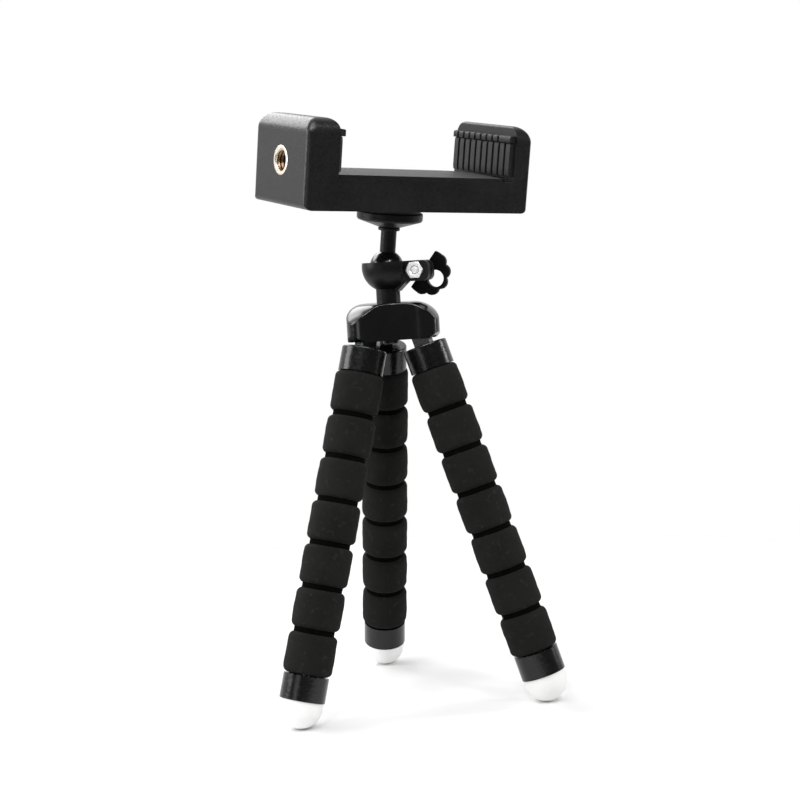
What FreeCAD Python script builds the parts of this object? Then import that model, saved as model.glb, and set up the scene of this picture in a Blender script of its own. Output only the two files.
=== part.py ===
# Phone tripod: a spring-loaded phone clip on a small ball head, on three foam-covered bendable legs.
# Millimetres, +Z up, floor at z = 0, the clip's long side along X. The hub's axis stands at AXIS_X, AXIS_Y,
# so that the origin is the middle of the whole object's footprint.
import FreeCAD, Part
import math
import os

V = FreeCAD.Vector
os.makedirs("parts", exist_ok=True)

# Place of the hub's axis from the middle of the footprint
AXIS_X = 4.82
AXIS_Y = -4.3

# Clearances
RUN = 0.05            # radial, a piece that turns on another
SLIP = 0.2            # radial, a piece pushed into another
SLIDE = 0.2           # each side, the moving jaw's tongue in its channel
FACE_GAP = 0.02       # between two flat faces that lie on each other

# How far a cutter runs past a face, the least length told from none, and the size of small edge rounds
OVERRUN = 1.0
TINY = 0.001
SMALL_ROUND = 0.6
FINE_ROUND = 0.3

# Legs, measured along the leg from its hinge pin
LEG_COUNT = 3
LEG_FIRST_ANGLE = -170.0
LEG_SPLAY = 17.6
LEG_SPLAY_MAX = 40.0
PIN_RADIUS = 1.0
PIN_LENGTH = 10.0
PIN_CIRCLE = 10.4
LUG_WIDTH = 4.6
LUG_ROUND = 2.9
LUG_BITE = 0.5
COLLAR_START = 5.9
COLLAR_LENGTH = 8.6
COLLAR_RADIUS = 7.8
COLLAR_ROOF = 3.0
SLEEVE_WALL = 1.5
FOAM_BULGES = 7
FOAM_PITCH = 14.9
FOAM_RADIUS = 8.5
FOAM_NECK = 7.2
FOAM_GROOVE = 1.6
FOAM_CORNER = 1.9
FOAM_CROWN = 0.6
FOAM_END_GAP = 0.3
CORE_RADIUS = 1.2
CORE_SEAT = 2.0
CORE_ROOM = 0.3
FERRULE_LENGTH = 8.4
FERRULE_FLOOR = 3.0
FOOT_RADIUS = 7.4
FOOT_SHANK = 2.2
PLUG_RADIUS = 3.0
PLUG_LENGTH = 2.4

# Hub
HUB_HEIGHT = 12.9
PIN_ABOVE_HUB_BASE = 3.1
LOBE_RADIUS = 5.8
LOBE_CIRCLE = 12.1
WAIST_RADIUS = 9.4
DOME_MARGIN = 0.5
DOME_ROUND = 9.6
DOME_EDGE_ROUND = 0.7
PLATE_THICKNESS = 1.5
PLATE_RADIUS = 6.4
SPIGOT_SIDE = 6.0
CENTRE_SCREW_RADIUS = 1.5
CENTRE_SCREW_HEAD = 2.8
SCREW_HEAD_HEIGHT = 1.6
CENTRE_SCREW_GRIP = 5.5
DRIVE_FLATS = 1.6
DRIVE_DEPTH = 1.0

# Ball and its split socket
NECK_RADIUS = 4.2
BALL_ABOVE_HUB = 12.4
BALL_RADIUS = 5.95
CUP_RADIUS = 8.7
CUP_RIM = 1.75
CUP_MOUTH = 1.6
EAR_REACH = 16.2
EAR_THICKNESS = 3.0
EAR_SLOT = 1.2
EAR_LOW = -5.35
EAR_ROUND = 2.2
WEB_THICKNESS = 4.8
WEB_LOW = -9.0
WEB_RISE = 0.4
BOLT_FROM_END = 5.0
BOLT_HEIGHT = -1.5
BOLT_RADIUS = 1.5
NUT_ACROSS_FLATS = 5.5
NUT_THICKNESS = 2.4
NUT_DISH_RADIUS = 3.9
NUT_DISH_DEPTH = 0.5
NUT_BEVEL = 0.25
BOLT_END_INSET = 0.1
BOSS_RADIUS = 2.8
BOSS_GAP = 0.2
FAN_START = 6.3
FAN_THICKNESS = 2.0
FAN_OFFSET = 2.0
FAN_ANGLE = -38.5
FAN_BODY_RADIUS = 6.9
FAN_EDGE = 0.35
FAN_SHOULDER_RADIUS = 8.0
SCALLOPS = 5
SCALLOP_RADIUS = 2.65
SCALLOP_CIRCLE = 5.5
SCALLOP_STEP = 39.0
FAN_WINDOW_RADIUS = 3.0
FAN_WINDOW_OUT = 3.6
BOLT_HEAD_RADIUS = 2.1
BOLT_HEAD_LENGTH = 2.0

# Head above the ball, heights from the ball's centre along the stem
TILT_FORWARD = 9.2
TILT_SIDE = 2.6
STEM_RADIUS = 2.75
RING_LOW = 12.8
RING_HEIGHT = 1.1
RING_RADIUS = 3.8
STEM_HEAD_RADIUS = 3.6
STEM_HEAD_HEIGHT = 1.0
DISC_RADIUS = 11.5
DISC_RIM_LOW = 16.5
DISC_TOP = 19.3
DISC_EDGE = 0.4
STUD_RADIUS = 3.1
STUD_HEAD_FLATS = 9.0
STUD_HEAD_HEIGHT = 2.0
STUD_REACH = 4.6
STUD_CHAMFER = 0.5
REST_PAD_RADIUS = 10.6
REST_PAD_THICKNESS = 1.7

# Phone clip, x from the stem's axis, z from its underside
CLIP_LEFT = 43.7
CLIP_RIGHT = 44.4
CLIP_DEPTH = 38.0
CLIP_HEIGHT = 29.9
FIXED_JAW = 11.7
MOVING_JAW = 6.4
JAW_TRAVEL = 22.0
WALL_TOP = 10.7
SIDE_WALL = 2.4
FLOOR = 2.4
END_ROUND = 2.4
CORNER_ROUND_FIXED = 2.2
CORNER_ROUND_MOVING = 0.9
TOP_ROUND_FIXED = 5.2
TOP_ROUND_MOVING = 5.2
INNER_ROUND_FIXED = 3.6
INNER_ROUND_MOVING = 0.9
COVER_TOP = 12.3
COVER_CROWN = 0.5
COVER_INSET = 1.3
COVER_WALL_GAP = 0.4
COVER_END_WALL = 2.0
COVER_END_GAP_LEFT = 0.8
COVER_END_GAP_RIGHT = 4.0
COVER_THICKNESS = 2.0
LEDGE_TOP = 8.9
ARM_HEIGHT = 5.6
ARM_INNER = 6.5
ARM_OVERLAP = 24.0
ARM_BRIDGE = 2.5
LANE_END = 3.0
LANE_SIDE = 0.6
SPRING_RADIUS = 1.9
SPRING_WIRE = 0.5
SPRING_OUT = 11.0
SPRING_HEIGHT = 5.4
SPRING_PEG_RADIUS = 1.0
SPRING_PEG_FIXED = 3.0
SPRING_PEG_MOVING = 1.4
SPRING_HOOK_GAP = 0.1
BRIDGE_HEIGHT = 0.7
INSERT_RADIUS = 4.6
INSERT_BORE = 3.175
INSERT_FLANGE = 5.0
FLANGE_THICKNESS = 0.6
INSERT_LENGTH = 8.0
INSERT_HEIGHT = 14.9
BASE_INSERT_LENGTH = 5.4
BASE_BOSS_RADIUS = 5.8
COVER_SCREW_RADIUS = 1.1
COVER_SCREW_HEAD = 2.1
COVER_SCREW_SINK = 0.8
COVER_SCREW_GRIP = 1.2
SCREW_BOSS_WALL = 1.4
COVER_BOSS_WALL = 1.0
COVER_SCREW_PLACES = (-22.0, 24.0)
PAD_WIDTH = 36.0
PAD_THICKNESS = 1.0
PAD_RIBS = 10
RIB_HEIGHT = 0.7
RIB_WIDTH = 2.2
RIB_BITE = 0.1
LIP_TOP = 26.6
LIP_HEIGHT = 1.9
LIP_EDGE = 0.7
LIP_REACH = 1.4
PAD_ABOVE_COVER = 0.3

# Worked out from the values above
CORE_TOP = COLLAR_START + COLLAR_ROOF - CORE_SEAT
FOAM_START = COLLAR_START + COLLAR_LENGTH
FOAM_END = FOAM_START + FOAM_BULGES * FOAM_PITCH
FERRULE_END = FOAM_END + FERRULE_LENGTH
FOOT_CENTRE = FERRULE_END + FOOT_SHANK
PIN_HEIGHT = FOOT_CENTRE * math.cos(math.radians(LEG_SPLAY)) + FOOT_RADIUS
HUB_BASE = PIN_HEIGHT - PIN_ABOVE_HUB_BASE
HUB_TOP = HUB_BASE + HUB_HEIGHT
BALL_HEIGHT = HUB_TOP + BALL_ABOVE_HUB
SLEEVE_BORE = COLLAR_RADIUS - SLEEVE_WALL
SOCKET_BORE = BALL_RADIUS + RUN
EAR_ANGLE = LEG_FIRST_ANGLE + 360.0 / LEG_COUNT
EAR_HALF = EAR_THICKNESS + EAR_SLOT / 2
BOLT_OUT = EAR_REACH - BOLT_FROM_END
CLIP_BASE_Z = DISC_TOP + REST_PAD_THICKNESS
FIXED_FACE = FIXED_JAW - CLIP_LEFT
MOVING_FACE = CLIP_RIGHT - MOVING_JAW
CLIP_HALF = CLIP_DEPTH / 2
ARM_LENGTH = JAW_TRAVEL + ARM_OVERLAP

nodes = {}


def add(name, *solids):
    """Keeps a node: one solid, or a group of like solids."""
    nodes[name] = solids[0] if len(solids) == 1 else Part.makeCompound(list(solids))


def rod(radius, length, at=V(0, 0, 0), along=V(0, 0, 1)):
    return Part.makeCylinder(radius, length, at, along)


def block(x0, x1, y0, y1, z0, z1):
    return Part.makeBox(x1 - x0, y1 - y0, z1 - z0, V(x0, y0, z0))


def hexagon(flats, length, at, along):
    """A hexagonal prism with corners up and down its local axis."""
    corner = flats / math.sqrt(3)
    ring = [polar(corner, 60 * index, 0) for index in range(7)]
    prism = Part.Face(Part.makePolygon(ring)).extrude(V(0, 0, length))
    prism.Placement = FreeCAD.Placement(at, FreeCAD.Rotation(V(0, 0, 1), along))
    return prism


def turned(points):
    """A solid of revolution about Z; a point is (r, z), or (r, z, r_mid, z_mid) at the end of an arc."""
    edges = []
    last = points[-1]
    start = V(last[0], 0, last[1])
    for point in points:
        end = V(point[0], 0, point[1])
        if len(point) == 4:
            edges.append(Part.Arc(start, V(point[2], 0, point[3]), end).toShape())
        else:
            edges.append(Part.makeLine(start, end))
        start = end
    return Part.Face(Part.Wire(edges)).revolve(V(0, 0, 0), V(0, 0, 1), 360)


def soften(shape, radius, chosen):
    """Rounds the edges that the test picks."""
    edges = [edge for edge in shape.Edges if chosen(edge)]
    return shape.makeFillet(radius, edges)


def flat(edge):
    """True for an edge that lies in a level plane."""
    return edge.BoundBox.ZLength < TINY


def at_x(edge, x):
    """True for an edge that lies in the plane across X there."""
    return abs(edge.BoundBox.XMin - x) < TINY and abs(edge.BoundBox.XMax - x) < TINY


def polar(radius, degrees, z):
    return V(radius * math.cos(math.radians(degrees)), radius * math.sin(math.radians(degrees)), z)


def turn(shape, axis, degrees, about=V(0, 0, 0)):
    shape = shape.copy()
    shape.rotate(about, axis, degrees)
    return shape


def shift(shape, x, y, z):
    shape = shape.copy()
    shape.translate(V(x, y, z))
    return shape


def on_axis(shape):
    """From the hub's own frame to the object's."""
    return shift(shape, AXIS_X, AXIS_Y, 0)


def in_clamp(shape):
    """From the clamp's frame: x along the ears, y along the bolt, origin at the ball's centre."""
    return on_axis(shift(turn(shape, V(0, 0, 1), EAR_ANGLE), 0, 0, BALL_HEIGHT))


def in_head(shape):
    """From the head's frame: z along the stem, origin at the ball's centre."""
    tilted = turn(turn(shape, V(0, 1, 0), TILT_SIDE), V(1, 0, 0), TILT_FORWARD)
    return on_axis(shift(tilted, 0, 0, BALL_HEIGHT))


def in_clip(shape):
    """From the clip's frame: its underside at z = 0 over the stem's axis."""
    return in_head(shift(shape, 0, 0, CLIP_BASE_Z))


def in_leg(shape, angle):
    """From a leg's frame: the leg hangs down -Z from its pin, with +X away from the hub."""
    spread = shift(turn(shape, V(0, 1, 0), -LEG_SPLAY), PIN_CIRCLE, 0, PIN_HEIGHT)
    return on_axis(turn(spread, V(0, 0, 1), angle))


def leg_angles():
    return [LEG_FIRST_ANGLE + 360.0 / LEG_COUNT * index for index in range(LEG_COUNT)]


# Legs


def sleeve(start, length, roof_at_start, roof):
    """A plastic cup round the end of the foam, open towards the foam."""
    shell = rod(COLLAR_RADIUS, length, V(0, 0, -start - length))
    depth = length - roof
    low = -start - length if roof_at_start else -start - depth
    return shell.cut(rod(SLEEVE_BORE, depth, V(0, 0, low)))


def leg_collar():
    cup = sleeve(COLLAR_START, COLLAR_LENGTH, True, COLLAR_ROOF)
    cup = soften(cup, SMALL_ROUND, lambda e: flat(e) and e.BoundBox.ZMin > -COLLAR_START - TINY)
    half = LUG_WIDTH / 2
    lug = block(-LUG_ROUND, LUG_ROUND, -half, half, -COLLAR_START - LUG_BITE, 0)
    lug = lug.fuse(rod(LUG_ROUND, LUG_WIDTH, V(0, -half, 0), V(0, 1, 0)))
    cup = cup.fuse(lug)
    cup = cup.cut(rod(PIN_RADIUS + RUN, LUG_WIDTH + 2 * OVERRUN, V(0, -half - OVERRUN, 0), V(0, 1, 0)))
    return cup.cut(rod(CORE_RADIUS + RUN, CORE_SEAT + OVERRUN, V(0, 0, -CORE_TOP - CORE_SEAT - OVERRUN)))


def foam_bulge(index):
    """One bulge of the foam, with crowned ends at the grooves and a spigot in the sleeve at a leg's end."""
    first = index == 0
    last = index == FOAM_BULGES - 1
    bore = CORE_RADIUS + CORE_ROOM
    top = -FOAM_START - index * FOAM_PITCH - (FOAM_END_GAP / 3 if first else FOAM_GROOVE / 2)
    low = -FOAM_START - (index + 1) * FOAM_PITCH + (FOAM_END_GAP if last else FOAM_GROOVE / 2)
    plug = SLEEVE_BORE - SLIP
    bend = FOAM_CORNER * (1 - math.sqrt(0.5))
    outline = []
    if first:
        seat = -COLLAR_START - COLLAR_ROOF - FOAM_END_GAP
        outline += [(bore, seat), (plug, seat), (plug, top)]
    else:
        outline += [(bore, top + FOAM_CROWN), (FOAM_NECK - FOAM_CORNER / 2, top)]
    outline += [(FOAM_RADIUS - FOAM_CORNER, top),
                (FOAM_RADIUS, top - FOAM_CORNER, FOAM_RADIUS - bend, top - bend),
                (FOAM_RADIUS, low + FOAM_CORNER),
                (FOAM_RADIUS - FOAM_CORNER, low, FOAM_RADIUS - bend, low + bend)]
    if last:
        seat = -FERRULE_END + FERRULE_FLOOR + FOAM_END_GAP
        outline += [(plug, low), (plug, seat), (bore, seat)]
    else:
        outline += [(FOAM_NECK - FOAM_CORNER / 2, low), (bore, low - FOAM_CROWN)]
    return turned(outline)


def leg_ferrule():
    cup = sleeve(FOAM_END, FERRULE_LENGTH, False, FERRULE_FLOOR)
    cup = cup.cut(rod(PLUG_RADIUS + RUN, PLUG_LENGTH + RUN, V(0, 0, -FERRULE_END)))
    return cup.cut(rod(CORE_RADIUS + RUN, FERRULE_FLOOR, V(0, 0, -FERRULE_END)))


def leg_foot():
    """A rubber foot: a short shank, a round end and a plug up into the ferrule."""
    half = FOOT_RADIUS * math.sqrt(0.5)
    top = -FERRULE_END
    centre = -FOOT_CENTRE
    return turned([(0, top + PLUG_LENGTH), (PLUG_RADIUS, top + PLUG_LENGTH), (PLUG_RADIUS, top),
                   (FOOT_RADIUS, top), (FOOT_RADIUS, centre), (0, centre - FOOT_RADIUS, half, centre - half)])


def leg_core():
    low = FERRULE_END - PLUG_LENGTH - RUN
    return rod(CORE_RADIUS, low - CORE_TOP, V(0, 0, -low))


def build_legs():
    for number, angle in enumerate(leg_angles(), 1):
        add(f"leg_{number}_collar", in_leg(leg_collar(), angle))
        for index in range(FOAM_BULGES):
            add(f"leg_{number}_foam_{index + 1}", in_leg(foam_bulge(index), angle))
        add(f"leg_{number}_core_wire", in_leg(leg_core(), angle))
        add(f"leg_{number}_ferrule", in_leg(leg_ferrule(), angle))
        add(f"leg_{number}_foot", in_leg(leg_foot(), angle))


# Hub, in its own frame with the leg's radial direction along +X


def at_lobes(shape):
    return [turn(shape, V(0, 0, 1), angle) for angle in leg_angles()]


def lug_room():
    """The slot that a lug sweeps from folded to fully spread, with the pin's axis at the origin."""
    half = LUG_WIDTH / 2 + SLIP
    side = LUG_ROUND + SLIP
    reach = COLLAR_START + LUG_ROUND + OVERRUN
    room = rod(side, 2 * half, V(0, -half, 0), V(0, 1, 0))
    for splay in (0, LEG_SPLAY_MAX / 2, LEG_SPLAY_MAX):
        room = room.fuse(turn(block(-side, side, -half, half, -reach, 0), V(0, 1, 0), -splay))
    return room


def past(edge, radius):
    """True for an edge that reaches out past a radius of the hub's axis and doesn't stand upright."""
    box = edge.BoundBox
    reach = max(-box.XMin, box.XMax, -box.YMin, box.YMax)
    return reach > radius + TINY and box.DiagonalLength > box.ZLength + TINY


def hub_body():
    """A three-lobed prism whose hollow sides run smoothly into the lobes, under a low round dome."""
    step = LOBE_RADIUS - WAIST_RADIUS
    far = (LOBE_CIRCLE ** 2 - step ** 2) / (LOBE_CIRCLE + 2 * step)
    half_turn = 180.0 / LEG_COUNT

    def touch(angle, side):
        """Where a lobe's round meets the hollow beside it."""
        lobe = polar(LOBE_CIRCLE, angle, HUB_BASE)
        away = polar(far, angle + side * half_turn, HUB_BASE) - lobe
        return lobe + away.normalize() * LOBE_RADIUS

    edges = []
    for angle in leg_angles():
        tip = polar(LOBE_CIRCLE + LOBE_RADIUS, angle, HUB_BASE)
        waist = polar(WAIST_RADIUS, angle + half_turn, HUB_BASE)
        edges.append(Part.Arc(touch(angle, -1), tip, touch(angle, 1)).toShape())
        edges.append(Part.Arc(touch(angle, 1), waist, touch(angle + 2 * half_turn, -1)).toShape())
    prism = Part.Face(Part.Wire(edges)).extrude(V(0, 0, HUB_HEIGHT))
    wide = LOBE_CIRCLE + LOBE_RADIUS + DOME_MARGIN
    level = wide - DOME_ROUND
    bend = DOME_ROUND * (1 - math.sqrt(0.5))
    low = HUB_BASE - OVERRUN
    shoulder = HUB_TOP - DOME_ROUND
    dome = turned([(0, low), (wide, low), (wide, shoulder), (level, HUB_TOP, wide - bend, HUB_TOP - bend),
                   (0, HUB_TOP)])
    return soften(prism.common(dome), DOME_EDGE_ROUND, lambda e: e.BoundBox.ZMin > shoulder and past(e, level))


def hub_shell():
    body = hub_body()
    reach = LOBE_CIRCLE + LOBE_RADIUS
    swept = block(-reach, 3 * reach, -reach, reach, -3 * reach, -COLLAR_START + FINE_ROUND)
    swept = turn(swept, V(0, 1, 0), -LEG_SPLAY_MAX).common(block(0, 3 * reach, -reach, reach, -reach, reach))
    cheek = PIN_LENGTH / 2 + SLIP / 2
    seat = rod(PIN_RADIUS, 2 * cheek, V(0, -cheek, 0), V(0, 1, 0))
    way_in = block(-PIN_RADIUS, PIN_RADIUS, -cheek, cheek, -2 * PIN_ABOVE_HUB_BASE, 0)
    for cutter in (swept, lug_room(), seat, way_in):
        body = body.cut(at_lobes(shift(cutter, PIN_CIRCLE, 0, PIN_HEIGHT)))
    body = body.cut(hub_plate_form(SLIP / 2, 0))
    half = SPIGOT_SIDE / 2 + RUN
    return body.cut(block(-half, half, -half, half, HUB_BASE + PLATE_THICKNESS, HUB_TOP + OVERRUN))


def hub_plate_form(grow, lift):
    """The retainer plate: a disc with two fingers under each hinge pin."""
    low = HUB_BASE
    top = HUB_BASE + PLATE_THICKNESS + grow
    form = rod(PLATE_RADIUS + grow, top - low, V(0, 0, low))
    inner = LUG_WIDTH / 2 + 2 * SLIP - grow
    outer = PIN_LENGTH / 2 - 2 * SLIP + grow
    key = PIN_RADIUS - SLIP / 2 + grow
    for side in (-1, 1):
        y0, y1 = sorted((side * inner, side * outer))
        finger = block(0, PIN_CIRCLE + 2 * PIN_RADIUS + grow, y0, y1, low, top)
        under_pin = PIN_HEIGHT - PIN_RADIUS + lift
        finger = finger.fuse(block(PIN_CIRCLE - key, PIN_CIRCLE + key, y0, y1, low, under_pin))
        form = form.fuse(at_lobes(finger))
    return form.removeSplitter()


def build_hub():
    add("hub_shell", on_axis(hub_shell()))
    plate = hub_plate_form(0, 0).cut(rod(CENTRE_SCREW_RADIUS + SLIP, HUB_HEIGHT, V(0, 0, HUB_BASE - OVERRUN)))
    add("hub_retainer_plate", on_axis(plate))
    pin = rod(PIN_RADIUS - RUN / 5, PIN_LENGTH, V(PIN_CIRCLE, -PIN_LENGTH / 2, PIN_HEIGHT), V(0, 1, 0))
    add("leg_hinge_pins", *[on_axis(p) for p in at_lobes(pin)])
    shank_top = HUB_BASE + PLATE_THICKNESS + SLIP + CENTRE_SCREW_GRIP
    screw = rod(CENTRE_SCREW_RADIUS, shank_top - HUB_BASE, V(0, 0, HUB_BASE))
    head = rod(CENTRE_SCREW_HEAD, SCREW_HEAD_HEIGHT, V(0, 0, HUB_BASE - SCREW_HEAD_HEIGHT))
    head = soften(head, SMALL_ROUND, lambda e: flat(e) and e.BoundBox.ZMax < HUB_BASE - TINY)
    drive = hexagon(DRIVE_FLATS, DRIVE_DEPTH, V(0, 0, HUB_BASE - SCREW_HEAD_HEIGHT), V(0, 0, 1))
    add("hub_centre_screw", on_axis(screw.fuse(head).cut(drive)))


# Socket, clamp and knob


def socket():
    """The split cup that grips the ball, its neck and its square spigot down into the hub."""
    cup = Part.makeSphere(CUP_RADIUS)
    half = EAR_HALF
    ears = block(0, EAR_REACH, -half, half, EAR_LOW, CUP_RIM)
    outer = [e for e in ears.Edges if e.BoundBox.YLength > half and e.BoundBox.XMin > EAR_REACH - 0.1]
    ears = ears.makeFillet(EAR_ROUND, outer)
    web_half = WEB_THICKNESS / 2
    web = [(0, WEB_LOW), (NECK_RADIUS, WEB_LOW + WEB_RISE), (CUP_RADIUS - OVERRUN, EAR_LOW), (0, EAR_LOW)]
    web.append(web[0])
    web = Part.makePolygon([V(x, -web_half, z) for x, z in web])
    web = Part.Face(web).extrude(V(0, WEB_THICKNESS, 0))
    neck = rod(NECK_RADIUS, BALL_ABOVE_HUB, V(0, 0, -BALL_ABOVE_HUB))
    side = SPIGOT_SIDE / 2
    spigot_low = HUB_BASE + PLATE_THICKNESS + SLIP - BALL_HEIGHT
    spigot = block(-side, side, -side, side, spigot_low, -BALL_ABOVE_HUB + OVERRUN)
    spigot = turn(spigot, V(0, 0, 1), -EAR_ANGLE)
    body = cup.fuse([ears, web, neck, spigot])
    wide = 2 * EAR_REACH
    body = body.cut(block(-wide, wide, -wide, wide, CUP_RIM, wide))
    body = body.cut(Part.makeSphere(SOCKET_BORE))
    mouth_at = V(0, 0, CUP_RIM - CUP_MOUTH)
    body = body.cut(Part.makeCone(SOCKET_BORE - CUP_MOUTH, SOCKET_BORE + CUP_MOUTH, 2 * CUP_MOUTH, mouth_at))
    split = EAR_SLOT / 2
    body = body.cut(block(0, EAR_REACH + OVERRUN, -split, split, EAR_LOW - OVERRUN, CUP_RIM + OVERRUN))
    bolt_axis = V(BOLT_OUT, -half - OVERRUN, BOLT_HEIGHT)
    y = V(0, 1, 0)
    body = body.cut(rod(BOLT_RADIUS + SLIP, 2 * (half + OVERRUN), bolt_axis, y))
    body = body.cut(rod(NUT_DISH_RADIUS, OVERRUN + NUT_DISH_DEPTH, bolt_axis, y))
    body = body.cut(hexagon(NUT_ACROSS_FLATS + SLIP, OVERRUN + nut_floor(), bolt_axis, y))
    screw_hole = CENTRE_SCREW_GRIP + 1.5 * OVERRUN
    return body.cut(rod(CENTRE_SCREW_RADIUS, screw_hole, V(0, 0, spigot_low - OVERRUN)))


def nut_floor():
    """Depth of the nut's pocket from the ear's outer face."""
    return NUT_THICKNESS - NUT_DISH_DEPTH / 2


def hex_nut():
    face = -EAR_HALF + nut_floor() - NUT_THICKNESS
    y = V(0, 1, 0)
    outer_end = V(BOLT_OUT, face, BOLT_HEIGHT)
    nut = hexagon(NUT_ACROSS_FLATS, NUT_THICKNESS, outer_end, y)
    blunt = NUT_ACROSS_FLATS / 2 + NUT_BEVEL
    bevel = Part.makeCone(blunt, blunt + NUT_THICKNESS * 2, NUT_THICKNESS * 2, outer_end, y)
    return nut.common(bevel).cut(rod(BOLT_RADIUS + RUN, 2 * NUT_THICKNESS, outer_end - y * OVERRUN, y))


def clamp_bolt():
    start = -EAR_HALF + BOLT_END_INSET
    head_start = FAN_START - BOLT_HEAD_LENGTH / 2
    y = V(0, 1, 0)
    shank = rod(BOLT_RADIUS, head_start - start, V(BOLT_OUT, start, BOLT_HEIGHT), y)
    return shank.fuse(rod(BOLT_HEAD_RADIUS, BOLT_HEAD_LENGTH, V(BOLT_OUT, head_start, BOLT_HEIGHT), y))


def clamp_knob():
    """A fan of five scallops with shoulders beside its boss, cut straight there, and a round window."""
    angle = math.radians(FAN_ANGLE)
    out = V(math.cos(angle), 0, math.sin(angle))
    bolt = V(BOLT_OUT, 0, BOLT_HEIGHT)
    centre = bolt + out * FAN_OFFSET
    y = V(0, 1, 0)

    def button(radius, place):
        disc = rod(radius, FAN_THICKNESS, place + y * FAN_START, y)
        return soften(disc, FAN_EDGE, lambda e: e.BoundBox.YLength < TINY)

    fan = button(FAN_BODY_RADIUS, centre)
    for index in range(SCALLOPS):
        turned_by = math.radians(FAN_ANGLE + (index - (SCALLOPS - 1) / 2) * SCALLOP_STEP)
        place = centre + V(math.cos(turned_by), 0, math.sin(turned_by)) * SCALLOP_CIRCLE
        fan = fan.fuse(button(SCALLOP_RADIUS, place))

    def band(x0, x1):
        """All of the fan between two distances from the bolt along its middle line."""
        wide = 3 * FAN_BODY_RADIUS
        slab = block(x0, x1, 0, FAN_START + 2 * FAN_THICKNESS, -wide, wide)
        return turn(slab, y, -FAN_ANGLE).translate(bolt)

    last_scallop = math.radians((SCALLOPS - 1) / 2 * SCALLOP_STEP)
    shoulders = band(0, FAN_OFFSET + SCALLOP_CIRCLE * math.cos(last_scallop))
    fan = fan.fuse(button(FAN_SHOULDER_RADIUS, centre).common(shoulders)).cut(band(-3 * FAN_BODY_RADIUS, 0))
    fan = fan.cut(rod(FAN_WINDOW_RADIUS, FAN_THICKNESS, centre + out * FAN_WINDOW_OUT + y * FAN_START, y))
    boss_start = EAR_HALF + BOSS_GAP
    fan = fan.fuse(rod(BOSS_RADIUS, FAN_START + FAN_THICKNESS - boss_start, bolt + y * boss_start, y))
    head_start = FAN_START - BOLT_HEAD_LENGTH / 2
    fan = fan.cut(rod(BOLT_RADIUS, FAN_START, bolt + y * (boss_start - OVERRUN), y))
    return fan.cut(rod(BOLT_HEAD_RADIUS, BOLT_HEAD_LENGTH, bolt + y * head_start, y))


def build_clamp():
    add("ball_socket", in_clamp(socket()))
    add("hex_nut", in_clamp(hex_nut()))
    add("clamp_bolt", in_clamp(clamp_bolt()))
    add("clamp_knob", in_clamp(clamp_knob()))


# Ball, stem and platform


def build_head():
    add("ball", in_head(Part.makeSphere(BALL_RADIUS)))
    head_top = DISC_TOP - STUD_HEAD_HEIGHT - RUN
    stem = rod(STEM_RADIUS, head_top).cut(Part.makeSphere(BALL_RADIUS + RUN))
    stem = stem.fuse(rod(STEM_HEAD_RADIUS, STEM_HEAD_HEIGHT, V(0, 0, head_top - STEM_HEAD_HEIGHT)))
    add("stem", in_head(stem))
    ring = rod(RING_RADIUS, RING_HEIGHT, V(0, 0, RING_LOW))
    ring = soften(ring, FINE_ROUND, flat)
    bore = rod(STEM_RADIUS, RING_HEIGHT + 2 * OVERRUN, V(0, 0, RING_LOW - OVERRUN))
    add("stem_lock_ring", in_head(ring.cut(bore)))
    cone_low = RING_LOW + RING_HEIGHT + RUN
    inner = DISC_RADIUS - DISC_EDGE
    disc = turned([(0, cone_low), (RING_RADIUS, cone_low), (inner, DISC_RIM_LOW - DISC_EDGE / 2),
                   (DISC_RADIUS, DISC_RIM_LOW + DISC_EDGE), (DISC_RADIUS, DISC_TOP - DISC_EDGE),
                   (inner, DISC_TOP), (0, DISC_TOP)])
    through = DISC_TOP - cone_low + 2 * OVERRUN
    disc = disc.cut(rod(STEM_RADIUS + RUN, through, V(0, 0, cone_low - OVERRUN)))
    under_head = head_top - STEM_HEAD_HEIGHT - RUN
    disc = disc.cut(rod(STEM_HEAD_RADIUS + RUN, through, V(0, 0, under_head)))
    hex_low = V(0, 0, DISC_TOP - STUD_HEAD_HEIGHT)
    disc = disc.cut(hexagon(STUD_HEAD_FLATS, through, hex_low, V(0, 0, 1)))
    add("platform", in_head(disc))
    stud = hexagon(STUD_HEAD_FLATS, STUD_HEAD_HEIGHT, hex_low, V(0, 0, 1))
    thread = rod(STUD_RADIUS, REST_PAD_THICKNESS + STUD_REACH, V(0, 0, DISC_TOP))
    upper = [e for e in thread.Edges if e.BoundBox.ZMin > DISC_TOP + STUD_REACH]
    thread = thread.makeChamfer(STUD_CHAMFER, upper)
    add("tripod_stud", in_head(stud.fuse(thread)))
    pad = rod(REST_PAD_RADIUS, REST_PAD_THICKNESS, V(0, 0, DISC_TOP))
    bore = rod(STUD_RADIUS + SLIP, REST_PAD_THICKNESS + 2 * OVERRUN, V(0, 0, DISC_TOP - OVERRUN))
    add("platform_rubber_pad", in_head(pad.cut(bore)))


# Phone clip


def jaw_block(outer, inner, corner_round, top_round, inner_round):
    """A jaw's body between its outer and inner face, rounded except for its inner upright edges."""
    x0, x1 = sorted((outer, inner))
    jaw = block(x0, x1, -CLIP_HALF, CLIP_HALF, 0, CLIP_HEIGHT)
    jaw = soften(jaw, corner_round, lambda e: at_x(e, outer) and not flat(e))
    jaw = soften(jaw, top_round, lambda e: e.BoundBox.ZMin > CLIP_HEIGHT - TINY and not at_x(e, inner))
    across = block(x0, x1, -CLIP_DEPTH, CLIP_DEPTH, 0, CLIP_HEIGHT)
    across = soften(across, inner_round, lambda e: at_x(e, inner) and e.BoundBox.ZMin > CLIP_HEIGHT - TINY)
    across = soften(across, END_ROUND, lambda e: at_x(e, outer) and e.BoundBox.ZMax < TINY)
    return jaw.common(across)


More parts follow.
